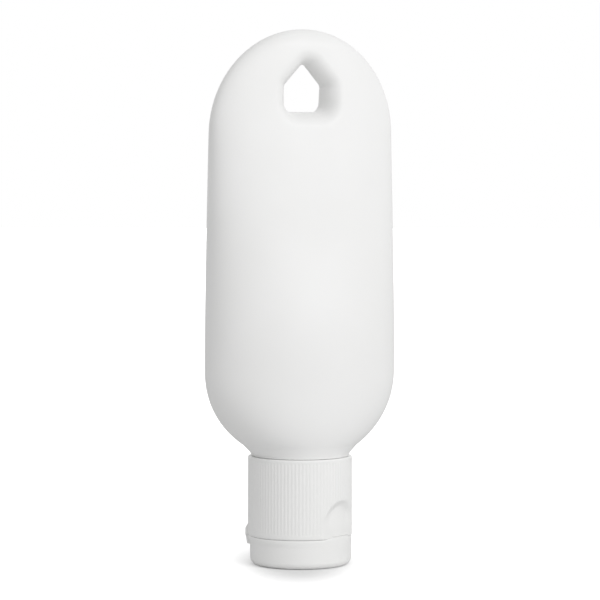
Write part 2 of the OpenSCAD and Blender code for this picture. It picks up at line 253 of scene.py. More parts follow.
def plastic(name, color, shade, gloss, grain, wave, waveShare, height, rubs, recessShade=None, split=0.0):
    # color and shade are linear; gloss is the roughness from low to high; height is the bump in metres;
    # grain and wave are the scales of the two reliefs; rubs and split are shares of the relief
    f = plasticFinish
    material = bpy.data.materials.new(name)
    material.use_nodes = True
    tree = material.node_tree
    shader = tree.nodes["Principled BSDF"]
    skin = useGroup(tree, skinGroup, Color=(*color, 1), Shade=(*shade, 1), Grain_Scale=grain,
                    Wave_Scale=wave, Wave_Share=waveShare, Gloss_Low=gloss[0], Gloss_High=gloss[1])
    rub = useGroup(tree, rubGroup, Scale=f["rubScale"], Amount=rubs)["Mask"]
    tone = skin["Color"]
    # painted shade: inside a radius of the axis the colour is darkened towards a grey, where the recesses lie
    if recessShade:
        deep = useGroup(tree, depthGroup, Deep=recessShade["deep"] * mm, Free=recessShade["free"] * mm)["Mask"]
        tone = mixColor(tree, calc(tree, "MULTIPLY", deep, recessShade["share"]), tone, (*recessShade["color"], 1))
    tree.links.new(tone, shader.inputs["Base Color"])
    rough = calc(tree, "ADD", skin["Roughness"], calc(tree, "MULTIPLY", rub, f["rubGloss"]), clamp=True)
    relief = calc(tree, "SUBTRACT", skin["Height"], calc(tree, "MULTIPLY", rub, f["rubDepth"]))
    if split:
        line = useGroup(tree, splitGroup, Width=f["splitWidth"])["Mask"]
        relief = calc(tree, "ADD", relief, calc(tree, "MULTIPLY", line, split))
        rough = calc(tree, "ADD", rough, calc(tree, "MULTIPLY", line, f["splitGloss"]), clamp=True)
    tree.links.new(rough, shader.inputs["Roughness"])
    bump = tree.nodes.new("ShaderNodeBump")
    bump.inputs["Strength"].default_value = 1.0
    bump.inputs["Distance"].default_value = height
    tree.links.new(relief, bump.inputs["Height"])
    tree.links.new(bump.outputs["Normal"], shader.inputs["Normal"])
    shader.inputs["IOR"].default_value = f["ior"]
    return material


# painted shade: inside these radii the cap's colour is darkened a little towards grey, in the rib roots, the
# thumb scoop and the bore
ribRecessShade = {"deep": 11.3, "free": 11.48, "share": 0.08, "color": (0.8, 0.8, 0.78)}      # radii in millimetres

bottlePlastic = plastic("bottlePlastic", (0.885, 0.885, 0.88), (0.865, 0.865, 0.858), (0.36, 0.44),
                        grain=2600, wave=140, waveShare=2.0, height=0.000006, rubs=0.35, split=1.2)
neckPlastic = plastic("neckPlastic", (0.885, 0.885, 0.88), (0.86, 0.86, 0.85), (0.34, 0.42),
                      grain=2600, wave=200, waveShare=1.5, height=0.000006, rubs=0.5)
capPlastic = plastic("capPlastic", (0.89, 0.89, 0.882), (0.872, 0.872, 0.862), (0.3, 0.38),
                     grain=3200, wave=260, waveShare=1.2, height=0.000005, rubs=0.4, recessShade=ribRecessShade)
lidPlastic = plastic("lidPlastic", (0.89, 0.89, 0.882), (0.872, 0.872, 0.862), (0.28, 0.36),
                     grain=3200, wave=260, waveShare=1.2, height=0.000005, rubs=0.6)
filmPlastic = plastic("filmPlastic", (0.84, 0.84, 0.83), (0.9, 0.9, 0.895), (0.3, 0.4),
                      grain=4200, wave=900, waveShare=1.0, height=0.000004, rubs=0.4)
lotionCream = plastic("lotionCream", (0.9, 0.87, 0.78), (0.88, 0.84, 0.74), (0.22, 0.32),
                      grain=900, wave=160, waveShare=3.0, height=0.00001, rubs=0.0)
linerFoam = plastic("linerFoam", (0.82, 0.81, 0.76), (0.76, 0.75, 0.7), (0.7, 0.85),
                    grain=3600, wave=700, waveShare=1.0, height=0.00003, rubs=0.2)
print("materials ready")


# The bottle

bottleShape = {
    "width": 43.8, "depth": 26.2,                         # at the top of the shoulder
    "endWidth": 42.6, "endDepth": 9.8,                    # at the thin end
    "collarBase": 25.65, "shoulderTop": 42.5, "sideTop": 95.1, "top": 117.8,     # heights
    "footWide": 0.7, "footDeep": 0.3,                     # the shoulder's foot stands out past the collar
    "deepPower": 4, "sidePower": 1.3,                     # the larger, the later the outline bends
    "squareness": 0.4,                                    # of the section near the thin end
    "wedgeRun": 16.0, "rimHeight": 4.0,                   # the wedge's soft start, and the end's rounded rim
    "collarRadius": 10.7, "collarLow": 24.06, "neckRadius": 8.75, "boreRadius": 7.3, "wall": 0.9,
    "filletTop": 26.5, "filletBend": 0.45, "filletEnd": 0.12, "filletSteps": 9,
    "leanFrom": 92.0, "lean": 0.55, "leanPower": 1.5,     # the thin end sits a little to the right
}

holeShape = {
    "width": 9.4, "height": 10.5, "roof": 4.8, "margin": 7.6, "flare": 3.4,
    "lowRound": 2.0, "sideRound": 1.2, "peakRound": 1.3, "peakLift": 0.5,        # the corners
    "cornerSteps": 24, "pointGap": 0.05,
}

skinGrid = {
    "spokes": 288, "flareLoops": 16, "faceLoops": 46,
    "rays": 3000, "rayLength": 140.0, "halvings": 44,     # for finding where a spoke leaves the face
    "footWeight": 1.9, "holeWeight": 2.6,                 # spokes lie closer at the foot and at the hole
}


def halfWidth(z):
    s = bottleShape
    if z < s["shoulderTop"]:
        step = (s["shoulderTop"] - z) / (s["shoulderTop"] - s["collarBase"])
        bend = 1 - (2 * (s["collarRadius"] + s["footWide"]) / s["width"]) ** 2
        return s["width"] / 2 * sqrt(1 - bend * step * step)
    if z < s["sideTop"]:
        rise = (z - s["shoulderTop"]) / (s["sideTop"] - s["shoulderTop"])
        return s["width"] / 2 - (s["width"] - s["endWidth"]) / 2 * rise ** s["sidePower"]
    rise = (z - s["sideTop"]) / (s["top"] - s["sideTop"])
    return s["endWidth"] / 2 * sqrt(max(0, 1 - rise * rise))


def holePeak():
    return bottleShape["top"] - holeShape["margin"]


def holeMiddle():
    return holePeak() - holeShape["height"] / 2


def halfDepth(z):
    # a round shoulder, then a straight wedge with a soft start, then the thin end's rounded rim
    s = bottleShape
    if z < s["shoulderTop"]:
        step = (s["shoulderTop"] - z) / (s["shoulderTop"] - s["collarBase"])
        bend = 1 - (2 * (s["collarRadius"] + s["footDeep"]) / s["depth"]) ** 2
        return s["depth"] / 2 * sqrt(1 - bend * step ** s["deepPower"])
    run = s["wedgeRun"]
    slope = (s["depth"] - s["endDepth"]) / 2 / (holeMiddle() - s["shoulderTop"] - run / 2)
    rise = z - s["shoulderTop"]
    wedge = s["depth"] / 2 - slope * (rise * rise / 2 / run if rise < run else rise - run / 2)
    rim = max(0, z - s["top"] + s["rimHeight"]) / s["rimHeight"]
    return wedge * sqrt(max(0, 1 - rim * rim))


def faceDepth(x, z):
    s = bottleShape
    rise = max(0, min(1, (z - s["shoulderTop"]) / (s["sideTop"] - s["shoulderTop"])))
    power = 2 + s["squareness"] * rise
    half = halfWidth(z)
    share = min(1.0, abs(x) / half) if half > 1e-6 else 1.0
    return halfDepth(z) * (1 - share ** power) ** (1 / power)


def turnedOut(direction, inward):
    return direction if direction.dot(inward) < 0 else -direction


def holeOutline():
    # the house-shaped hole, as dense points with their outward directions
    h = holeShape
    side, low = holePeak() - h["roof"], holePeak() - h["height"]
    corners = [(-h["width"] / 2, low, h["lowRound"]), (h["width"] / 2, low, h["lowRound"]),
               (h["width"] / 2, side, h["sideRound"]), (0, holePeak() + h["peakLift"], h["peakRound"]),
               (-h["width"] / 2, side, h["sideRound"])]
    points = []
    for i, (x, z, radius) in enumerate(corners):
        here = Vector((x, z))
        before = (Vector(corners[i - 1][:2]) - here).normalized()
        after = (Vector(corners[(i + 1) % len(corners)][:2]) - here).normalized()
        centre = here + (before + after).normalized() * radius / sin(acos(before.dot(after)) / 2)
        first = turnedOut(before.orthogonal(), centre - here)
        last = turnedOut(after.orthogonal(), centre - here)
        sweep = acos(max(-1, min(1, first.dot(last))))
        for k in range(h["cornerSteps"] + 1):
            w = k / h["cornerSteps"]
            outward = (first * sin((1 - w) * sweep) + last * sin(w * sweep)) / sin(sweep)
            points.append((centre + outward * radius, outward))
    dense = []
    for (a, outA), (b, outB) in zip(points, points[1:] + points[:1]):
        parts = max(1, ceil((b - a).length / h["pointGap"]))
        for k in range(parts):
            dense.append((a.lerp(b, k / parts), outA.lerp(outB, k / parts).normalized()))
    return dense


def onOutline(dense, angles, angle):
    # the outline's point and outward direction at an angle from the hole's middle
    low, high = 0, len(angles) - 1
    if angle <= angles[0] or angle >= angles[-1]:
        return dense[0 if angle <= angles[0] else -1]
    while high - low > 1:
        middle = (low + high) // 2
        low, high = (middle, high) if angles[middle] <= angle else (low, middle)
    t = (angle - angles[low]) / max(1e-9, angles[high] - angles[low])
    (p, outP), (q, outQ) = dense[low], dense[high]
    return p.lerp(q, t), outP.lerp(outQ, t).normalized()


def bodyEdge(centre, angle):
    # where a ray from the hole's middle meets the silhouette or the foot of the shoulder
    s = bottleShape
    ray = Vector((sin(angle), -cos(angle)))
    near, far = 0.0, skinGrid["rayLength"]
    for _ in range(skinGrid["halvings"]):
        middle = (near + far) / 2
        p = centre + ray * middle
        inside = s["filletTop"] < p.y < s["top"] and abs(p.x) < halfWidth(p.y)
        near, far = (middle, far) if inside else (near, middle)
    return centre + ray * near


def edgePlace(edge, atFoot):
    # the silhouette lies in the plane y = 0, the foot of the shoulder on the face
    return Vector((edge.x, -faceDepth(*edge) if atFoot else 0, edge.y))


def layOutSpokes():
    # spokes run from the hole to the body's edge, spread evenly by what they meet at both ends
    s, g = bottleShape, skinGrid
    centre = Vector((0, holeMiddle()))
    dense = sorted(holeOutline(), key=lambda p: atan2(p[0].x, -(p[0].y - centre.y)))
    angles = [atan2(p.x, -(p.y - centre.y)) for p, _ in dense]
    samples, j = [], 0
    for k in range(g["rays"] + 1):
        angle = -pi + 2 * pi * k / g["rays"]
        while j < len(angles) - 1 and angles[j + 1] <= angle:
            j += 1
        samples.append((angle, dense[j][0], bodyEdge(centre, angle)))
    travel = [0.0]
    for (_, p, here), (_, q, there) in zip(samples, samples[1:]):
        atFoot = abs(here.y - s["filletTop"]) < 0.01
        run = (edgePlace(here, atFoot) - edgePlace(there, atFoot)).length
        weighted = run * (g["footWeight"] if atFoot else 1.0) + (p - q).length * g["holeWeight"]
        travel.append(travel[-1] + weighted)
    spokes, k = [], 0
    for i in range(g["spokes"]):
        goal = travel[-1] * (i + 0.5) / g["spokes"]
        while travel[k + 1] < goal:
            k += 1
        t = (goal - travel[k]) / (travel[k + 1] - travel[k])
        angle = samples[k][0] + t * 2 * pi / g["rays"]
        spokes.append([*onOutline(dense, angles, angle), bodyEdge(centre, angle)])
    for sign in (-1, 1):     # one spoke on each side ends exactly where the silhouette meets the foot
        corner = Vector((sign * halfWidth(s["filletTop"]), s["filletTop"]))
        nearest = min(spokes, key=lambda spoke: (spoke[2] - corner).length)
        nearest[2] = corner
    return spokes


def growFace(bm, spokes):
    # the front half, from the hole's edge through its flare and over the face to the silhouette
    s, g, flare = bottleShape, skinGrid, holeShape["flare"]
    ring = bmesh.ops.create_circle(bm, cap_ends=False, segments=g["spokes"], radius=1)["verts"]
    for vert, (p, _, _) in zip(ring, spokes):
        vert.co = (p.x, 0, p.y)
    for k in range(1, g["flareLoops"] + 1):
        w = pi / 2 * k / g["flareLoops"]
        ring = extrudeRing(bm, ring)
        for vert, (p, outward, _) in zip(ring, spokes):
            at = p + outward * flare * (1 - cos(w))
            vert.co = (at.x, -faceDepth(*at) * sin(w), at.y)
    footWidth = halfWidth(s["filletTop"])
    for k in range(1, g["faceLoops"] + 1):        # closer together where the face turns
        share = sin(pi / 2 * k / g["faceLoops"])
        last = k == g["faceLoops"]
        ring = extrudeRing(bm, ring)
        for vert, (p, outward, edge) in zip(ring, spokes):
            at = edge if last else (p + outward * flare).lerp(edge, share)
            atFoot = abs(edge.y - s["filletTop"]) < 1e-3 and abs(edge.x) < footWidth - 1e-3
            vert.co = (at.x, 0 if last and not atFoot else -faceDepth(*at), at.y)


def growCollar(bm):
    # from the open foot of the shoulder through a small fillet into the collar, and in under it
    s = bottleShape
    deep, wide = halfDepth(s["filletTop"]), halfWidth(s["filletTop"])
    ring = sorted({v for e in bm.edges if len(e.link_faces) == 1 for v in e.verts},
                  key=lambda v: atan2(v.co.y, v.co.x))
    starts = [(v.co.copy(), atan2(v.co.y / deep, v.co.x / wide)) for v in ring]
    radius, low = s["collarRadius"], s["collarLow"]
    for k in range(1, s["filletSteps"] + 1):
        t = k / s["filletSteps"]
        ring = extrudeRing(bm, ring)
        for vert, (start, turn) in zip(ring, starts):
            side = Vector((radius * cos(turn), radius * sin(turn), low))
            bend, end = side + Vector((0, 0, s["filletBend"])), side + Vector((0, 0, s["filletEnd"]))
            vert.co = start * (1 - t) ** 2 + bend * 2 * t * (1 - t) + end * t * t
    for r, z in ((radius - 0.04, low + 0.035), (radius - 0.12, low), (s["neckRadius"] + 0.46, low)):
        ring = extrudeRing(bm, ring)
        for vert, (_, turn) in zip(ring, starts):
            vert.co = (r * cos(turn), r * sin(turn), z)


def makeBottle():
    s = bottleShape
    bm = bmesh.new()
    growFace(bm, layOutSpokes())
    bmesh.ops.mirror(bm, geom=bm.verts[:] + bm.edges[:] + bm.faces[:], matrix=Matrix.Identity(4),
                     merge_dist=weld, axis="Y")
    growCollar(bm)
    for vert in bm.verts:
        rise = max(0, vert.co.z - s["leanFrom"]) / (s["top"] - s["leanFrom"])
        vert.co.x += s["lean"] * rise ** s["leanPower"]
    piece = finishPiece(bm, "bottleBody", bottlePlastic, None)
    wall = piece.modifiers.new("wall", "SOLIDIFY")
    wall.thickness = s["wall"] * mm
    wall.offset = -1
    wall.use_even_offset = True
    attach(piece, "bottle_body")
    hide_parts("bottle")


neckShape = {
    "mouth": 9.3, "collar": 24.3, "lip": 0.4,
    "stepShare": 0.62, "stepOut": 0.5,                       # the neck grows thicker towards the collar
    "pitch": 3.175, "turns": 1.5, "threadLow": 11.5,         # the thread, and the ridge that makes it
    "crest": 9.8, "root": 1.9, "tip": 0.9, "crestRound": 0.12, "sink": 0.2,
    "fade": 40, "stub": 0.08,                                # its ends grow from a stub over so many degrees
    "stepsPerTurn": 90, "segments": 144,
}


def threadRidge(bm, carrier, free, startZ):
    # a ridge swept along a helix, from the wall that carries it to its crest; its ends sink into the wall
    n = neckShape
    turns, root, tip = n["turns"], n["root"] / 2, n["tip"] / 2
    steps = ceil(turns * n["stepsPerTurn"])
    rise, ease = (free - carrier) / 3, (root - tip) * 0.4
    upper = [(carrier, root), (carrier + rise, root - ease),
             (free - rise / 2, tip + n["crestRound"] / 2), (free, tip - n["crestRound"])]
    profile = [(r, -z) for r, z in upper] + upper[::-1]
    verts = [bm.verts.new((r, 0, startZ + z)) for r, z in profile]
    edges = [bm.edges.new((a, b)) for a, b in zip(verts, verts[1:] + verts[:1])]
    bmesh.ops.spin(bm, geom=verts + edges, cent=(0, 0, 0), axis=(0, 0, 1),
                   dvec=(0, 0, n["pitch"] * turns / steps), angle=2 * pi * turns, steps=steps,
                   use_duplicate=False)
    bmesh.ops.holes_fill(bm, edges=[e for e in bm.edges if len(e.link_faces) == 1], sides=0)
    for vert in bm.verts:
        turn = 360 * (vert.co.z - startZ) / n["pitch"]
        along = degrees(atan2(vert.co.y, vert.co.x)) % 360
        turn = along + 360 * round((turn - along) / 360)
        grown = max(n["stub"], smooth(-4, n["fade"], turn) * smooth(-4, n["fade"], 360 * turns - turn))
        r = hypot(vert.co.x, vert.co.y)
        share = (carrier + (r - carrier) * grown) / r
        vert.co.x *= share
        vert.co.y *= share


def neckProfile():
    # up the outside from the lip's rounding over the step to the collar, then down the bore
    s, n = bottleShape, neckShape
    mouth, collar, lip = n["mouth"], n["collar"], n["lip"]
    step = mouth + (collar - mouth) * n["stepShare"]
    r, wide, bore = s["neckRadius"], s["neckRadius"] + n["stepOut"], s["boreRadius"]
    arc = [(r - lip + lip * sin(radians(a)), mouth + lip - lip * cos(radians(a)))
           for a in (0, 22, 45, 68, 90)]
    return arc + [(r, step - 0.2), (r + 0.12, step + 0.15), (wide - 0.1, step + 0.85), (wide, step + 1.1),
                  (wide, collar - 0.15), (wide + 0.03, collar + 0.25), (bore + 0.4, collar + 0.9),
                  (bore, collar + 0.6), (bore, mouth + 0.2), (bore + 0.2, mouth)]


def makeNeck():
    n = neckShape
    bm = bmesh.new()
    spinProfile(bm, neckProfile(), n["segments"], True)
    finishPiece(bm, "bottleNeck", neckPlastic, "bottle_body", ["bottle"], 40)
    bm = bmesh.new()
    threadRidge(bm, bottleShape["neckRadius"] - n["sink"], n["crest"], n["threadLow"])
    finishPiece(bm, "neckThread", neckPlastic, "bottle_body", ["bottle"], 50)


makeBottle()
makeNeck()
print("bottle ready")


# The cap

capShape = {
    "hinge": 122.0,                        # direction of the hinge in degrees, from +X towards +Y
    "skirt": 11.5, "bore": 10.0, "parting": 6.5, "rim": 24.0, "deck": 6.9, "deckTop": 8.4, "edge": 0.2,
    "bandLow": 1.0, "bandHigh": 0.7, "ribs": 90, "ribDepth": 0.06,
    "scoopRadius": 5.2, "scoopDepth": 1.0, "scoopHeight": 8.4, "scoopSlope": 1.35, "scoopRound": 0.03,
    "softBelow": 3.0, "softAbove": 1.5, "softSpread": 0.5, "softRunOut": 0.35,    # the scoop's lower end
    # the parting line lifts under the scoop, between these angles from its middle
    "liftHeight": 0.44, "liftStart": 28.0, "liftFull": 10.0, "liftFade": 2.2,
    "blockOut": 12.15, "blockFlat": 11.6, "blockWidth": 12.4, "blockLow": 6.11, "blockTop": 7.8,
    "blockChamfer": 0.95, "slopeBelow": 0.2, "slopeAbove": 0.5, "blockGap": 0.12,
    "spoutTip": 2.6, "spoutFoot": 3.6, "spoutLow": 4.2, "orifice": 1.6, "snap": 9.8, "snapLow": 5.0,
    "segments": 720, "rowTag": 0.001,
}


def fromHinge(turn):
    # the angle from the hinge's direction, between -pi and pi
    return (turn - radians(capShape["hinge"]) + pi) % (2 * pi) - pi


def onBlock(angle, out, extra=0.0):
    # whether an angle from the hinge lies on the hinge block, which reaches out to the radius out
    return cos(angle) > 0 and abs(out * sin(angle)) <= capShape["blockWidth"] / 2 + extra


def scoopFloor(across, z):
    # radius of the thumb scoop's surface at a place on the skirt, or a large number outside it
    c = capShape
    archZ = c["parting"] + c["scoopHeight"] - c["scoopRadius"]
    away = hypot(across, max(0, z - archZ))
    deep = c["skirt"] - c["scoopDepth"]
    soft = smooth(archZ + c["softBelow"], c["parting"] + c["softAbove"], z)      # it runs out towards the lid
    inner = c["scoopRadius"] - c["scoopSlope"] * (1 + soft)
    outer = c["scoopRadius"] + c["softSpread"] * soft
    t = (away - inner) / (outer - inner)
    if t > 1.25:
        return 99.0
    eased = (t + sqrt(t * t + c["scoopRound"])) / 2 if t > -1 else 0
    eased += c["softRunOut"] * soft * (1 - min(1, eased))
    return deep + c["scoopDepth"] * eased


def partingRise(angle):
    # how far the parting line lifts under the thumb scoop, at an angle from the hinge
    c = capShape
    behind = abs((degrees(angle) + 360) % 360 - 180)
    return c["liftHeight"] * smooth(c["liftStart"], c["liftFull"], behind)


def blockSkin(angle, z):
    # radius of the hinge block at an angle from the hinge, or zero outside it
    c = capShape
    slopeLow = c["blockTop"] - c["slopeBelow"]
    slopeTop = c["blockTop"] + c["blockChamfer"] + c["slopeAbove"]
    if not onBlock(angle, c["blockOut"]) or z > slopeTop + 0.05:
        return 0.0
    out = min(c["blockOut"], c["blockFlat"] / cos(angle))
    lean = (c["blockOut"] - c["skirt"] + c["blockGap"]) * smooth(slopeLow, slopeTop, z)
    return out - lean - 0.05 * smooth(c["blockLow"] + 0.15, c["blockLow"], z)


def ribGroove(turn, z):
    # depth of the grooves between the ribs, which end short of the bands at both edges
    c = capShape
    low, high = c["parting"] + c["bandLow"], c["rim"] - c["bandHigh"]
    fade = smooth(low - 0.12, low + 0.22, z) * smooth(high + 0.12, high - 0.22, z)
    wave = 0.5 - 0.5 * cos(turn * c["ribs"])
    return c["ribDepth"] * wave ** 1.3 * fade


def roundOff(depth, size):
    # how far a rounded edge of a given size draws in at a depth below it
    return size * (1 - sqrt(max(0, 1 - (1 - min(1, depth / size)) ** 2)))


def skirtRows():
    # heights of the skirt's rings, closest at its edges and at the ends of the ribs
    c = capShape
    low, high, edge = c["parting"], c["rim"], c["edge"]
    step = c["blockChamfer"] / 3
    count = int((high - c["blockTop"] - 1.1) / step) + 1
    above = [0, edge * 0.3, edge, 0.55, 0.8, 0.9, 1.0, 1.1, 1.22]
    below = [0.94, 0.85, 0.75, 0.66, 0.57, 0.45, edge, edge * 0.3]
    middle = [c["blockTop"] + step * k for k in range(count)]
    return [low + h for h in above] + middle + [high - h for h in below]


def capInside():
    # from the rim down the bore, over the deck and round the spout, then out past the snap ring
    c = capShape
    skirt, bore, top, deck, hole = c["skirt"], c["bore"], c["deckTop"], c["deck"], c["orifice"]
    low, high, tip, foot, spout = c["parting"], c["rim"], c["spoutTip"], c["spoutFoot"], c["spoutLow"]
    snap, snapLow, blockIn = c["snap"], c["snapLow"], bore + c["blockGap"]
    rim = [(skirt - c["edge"], high), (bore + 0.25, high), (bore + 0.07, high - 0.07), (bore, high - 0.25)]
    well = [(bore, high - 2), (bore, top + 1), (bore, top + 0.2), (bore - 0.06, top + 0.06),
            (bore - 0.2, top), (6, top), (hole + 0.2, top), (hole, top - 0.2)]
    nozzle = [(hole, spout + 0.2), (hole + 0.2, spout), (tip - 0.15, spout), (tip + 0.04, spout + 0.15),
              (foot - 0.25, deck - 0.3), (foot + 0.1, deck), (snap - 1.25, deck)]
    snapRing = [(snap - 1.02, deck - 0.25), (snap - 1, snapLow + 0.15), (snap - 0.85, snapLow),
                (snap - 0.2, snapLow), (snap - 0.05, snapLow + 0.06), (snap, snapLow + 0.2),
                (snap, low - 0.05)]
    under = [(snap + 0.05, low), (blockIn - 0.08, low), (blockIn, low), (skirt - 0.5, low),
             (skirt - c["edge"], low - 0.0001)]
    return rim + well + nozzle + snapRing + under


def outerPoint(angle, turn, z):
    # the skirt's surface: rounded edges, ribs, scoop, hinge block and the lifted parting line
    c = capShape
    low, high, edge = c["parting"], c["rim"], c["edge"]
    inBlock = onBlock(angle, c["blockOut"])
    if inBlock and z < low + 0.55:
        z = c["blockLow"] + (z - low) * (low + 0.55 - c["blockLow"]) / 0.55
    inset = roundOff(high - z, edge)
    if not inBlock:
        inset += roundOff(z - low, edge)
    radius = c["skirt"] - inset - ribGroove(turn, z)
    if cos(angle) < 0:
        radius = min(radius, scoopFloor(c["skirt"] * sin(angle), z))
    radius = max(radius, blockSkin(angle, z))
    return radius, z + partingRise(angle) * smooth(low + c["liftFade"], low, z)


def innerPoint(angle, radius, z):
    # the underside follows the hinge block and the scoop, the rest stays as it was spun
    c = capShape
    low = c["parting"]
    if onBlock(angle, c["blockOut"]) and abs(z - low) < 0.001 and radius > c["bore"] + c["blockGap"] - 0.01:
        z = c["blockLow"]
    if cos(angle) < 0 and z <= low + 0.001 and radius > c["skirt"] - 0.7:
        radius = min(radius, scoopFloor(c["skirt"] * sin(angle), low) - 0.05)
        z += partingRise(angle)
    return radius, z


def makeCapBase():
    c, n = capShape, neckShape
    rows = skirtRows()
    outer = [(c["skirt"] + c["rowTag"] * i, z) for i, z in enumerate(rows)]      # so a radius tells its row
    bm = bmesh.new()
    spinProfile(bm, outer + capInside(), c["segments"], True)
    for vert in bm.verts:
        radius, z = hypot(vert.co.x, vert.co.y), vert.co.z
        turn = atan2(vert.co.y, vert.co.x)
        row = (radius - c["skirt"]) / c["rowTag"]
        if row > -0.5:
            z = rows[min(len(rows) - 1, max(0, round(row)))]
            radius, z = outerPoint(fromHinge(turn), turn, z)
        else:
            radius, z = innerPoint(fromHinge(turn), radius, z)
        vert.co = (radius * cos(turn), radius * sin(turn), z)
    finishPiece(bm, "capBase", capPlastic, "cap", ["cap_base"], 50)
    bm = bmesh.new()
    crest = bottleShape["neckRadius"] + n["sink"]
    threadRidge(bm, c["bore"] + n["sink"], crest, n["threadLow"] + n["pitch"] / 2)
    finishPiece(bm, "capThread", capPlastic, "cap", ["cap_base"], 50)


lidShape = {
    "radius": 11.2, "taper": 0.05, "lip": 11.42, "lipHeight": 0.5, "lipSlope": 1.4, "top": 6.45,
    "bore": 10.05, "floor": 1.3, "footEdge": 1.5, "tabInner": 10.63,
    "plug": 1.35, "plugTop": 6.9, "sealRadius": 3.85, "sealWall": 0.6, "sealTop": 6.0,
    "blockOut": 12.05, "blockTop": 6.07, "blockHeight": 1.85, "blockLean": 0.3, "blockCut": 0.25,
    "shift": 0.2, "shiftFrom": 7.0,        # the wall sits towards the thumb side, from this radius out
    "dimple": 3.2, "dimpleDepth": 0.3,
    "segments": 480,
}


def lidLevels():
    # radius of the flat foot, and heights where the hinge block, the lip's slope and the lip begin
    d = lidShape
    lipLow = d["top"] - d["lipHeight"]
    return (d["radius"] - d["footEdge"] - d["taper"], d["blockTop"] - d["blockHeight"],
            lipLow - d["lipSlope"], lipLow)


def lidOutside():
    # from the dimple in the middle of the foot out to the rounded edge and up the wall to the lip
    d = lidShape
    foot, blockLow, slopeLow, lipLow = lidLevels()
    edge, top, wide, deep = d["footEdge"], d["top"], d["dimple"], d["dimpleDepth"]
    below = [(0, deep - 0.1), (0.35, deep - 0.1), (0.45, deep), (wide - 0.4, deep), (wide - 0.1, deep * 0.75),
             (wide + 0.05, deep * 0.2), (wide + 0.3, 0), (6.5, 0)]
    arc = [(foot + edge * sin(radians(a)), edge * (1 - cos(radians(a)))) for a in range(0, 91, 9)]
    levels = [edge + (blockLow - 0.1 - edge) * k / 6 for k in range(1, 7)]
    levels += [blockLow - 0.04, blockLow + 0.02, blockLow + 0.08]
    levels += [slopeLow + d["lipSlope"] * k / 8 for k in range(9)]
    wall = []
    for z in levels:
        taper = d["taper"] * min(1, (z - edge) / (slopeLow - edge))
        step = (d["lip"] - d["radius"]) * smooth(slopeLow, lipLow, z)
        wall.append((d["radius"] - d["taper"] + taper + step, z))
    return below + arc + wall + [(d["lip"], top - 0.22), (d["lip"] - 0.06, top - 0.07), (d["lip"] - 0.2, top)]


def lidInside():
    # from the rim down the bore, over the floor and the sealing ring to the plug
    d = lidShape
    tab, top, bore, floor = d["tabInner"], d["top"], d["bore"], d["floor"]
    seal, ring, sealTop = d["sealRadius"], d["sealRadius"] + d["sealWall"], d["sealTop"]
    plug, plugTop = d["plug"], d["plugTop"]
    return [(tab, top), (tab - 0.05, top), (bore + 0.15, top), (bore, top - 0.15), (bore, floor + 1.4),
            (bore, floor + 0.3), (bore - 0.09, floor + 0.09), (bore - 0.3, floor), (7.2, floor),
            (ring + 0.2, floor), (ring, floor + 0.2), (ring, sealTop - 0.15), (ring - 0.15, sealTop),
            (seal + 0.15, sealTop), (seal, sealTop - 0.15), (seal, floor + 0.2), (seal - 0.2, floor),
            (plug + 0.25, floor), (plug, floor + 0.25), (plug, plugTop - 0.55), (plug - 0.1, plugTop - 0.35),
            (plug - 0.45, plugTop - 0.05), (0.5, plugTop), (0, plugTop)]


def makeLid():
    c, d = capShape, lidShape
    foot, blockLow, slopeLow, lipLow = lidLevels()
    top, thumb = d["top"], radians(c["hinge"]) + pi
    bm = bmesh.new()
    spinProfile(bm, lidOutside() + lidInside(), d["segments"], False)
    for vert in bm.verts:
        r, z = hypot(vert.co.x, vert.co.y), vert.co.z
        outside = z < d["floor"] - 0.1 and r > d["shiftFrom"] or r > d["tabInner"] + 0.1
        if r < d["bore"] - 0.01 and not outside:
            continue
        turn = atan2(vert.co.y, vert.co.x)
        angle = fromHinge(turn)
        shift = 0
        if outside:
            shift = d["shift"] * smooth(lipLow, slopeLow, z) * smooth(d["shiftFrom"], foot, r)
        if onBlock(angle, d["blockOut"], d["blockCut"]):
            z = min(z, d["blockTop"])
        if onBlock(angle, d["blockOut"]) and outside and z > blockLow - 0.1:
            lean = d["blockLean"] * (d["blockTop"] - z) / d["blockHeight"]
            out = min(d["blockOut"] - lean, c["blockFlat"] / cos(angle))
            share = smooth(blockLow - 0.05, blockLow + 0.06, z)
            r += (out - r) * share
            shift *= 1 - share
        if r > d["tabInner"] - 0.005 and z > top - 0.3:
            z += partingRise(angle) * smooth(top - 0.3, top - 0.05, z)
        vert.co = (r * cos(turn) + shift * cos(thumb), r * sin(turn) + shift * sin(thumb), z)
    finishPiece(bm, "capLid", lidPlastic, "lid", ["cap_lid"], 50)


hingeShape = {
    "thick": 0.175, "reach": 0.7, "line": 6.1, "flat": 11.6, "waist": 0.1, "sag": 0.05, "inset": 0.03,
    "blendHalf": 0.35,
    # node: (name of the piece, middle across the hinge, width)
    "films": {
        "hinge_spring": ("filmMiddle", 0.0, 2.4),
        "hinge_strap_left": ("filmLeft", -3.472, 1.6),
        "hinge_strap_right": ("filmRight", 3.472, 1.6),
    },
}


def makeFilms():
    h = hingeShape
    turn = Matrix.Rotation(radians(capShape["hinge"]), 4, "Z")
    for node, (name, across, width) in h["films"].items():
        bm = bmesh.new()
        bmesh.ops.create_grid(bm, x_segments=10, y_segments=16, size=0.5)
        for vert in bm.verts:
            u, v = vert.co.x, vert.co.y * 2          # u runs across the film, v along it from -1 to 1
            middle = 1 - v * v
            vert.co = (h["flat"] - h["inset"] - h["sag"] * middle,
                       across + u * width * (1 - h["waist"] * middle), h["line"] + v * h["reach"])
        bmesh.ops.recalc_face_normals(bm, faces=bm.faces[:])
        bmesh.ops.solidify(bm, geom=bm.faces[:], thickness=h["thick"])
        bmesh.ops.transform(bm, matrix=turn, verts=bm.verts[:])
        piece = finishPiece(bm, name, filmPlastic, None, [node], 50)
        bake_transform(piece)


makeCapBase()
makeLid()
makeFilms()
print("cap ready")


# The lotion and the liner keep their CAD meshes and get their materials here

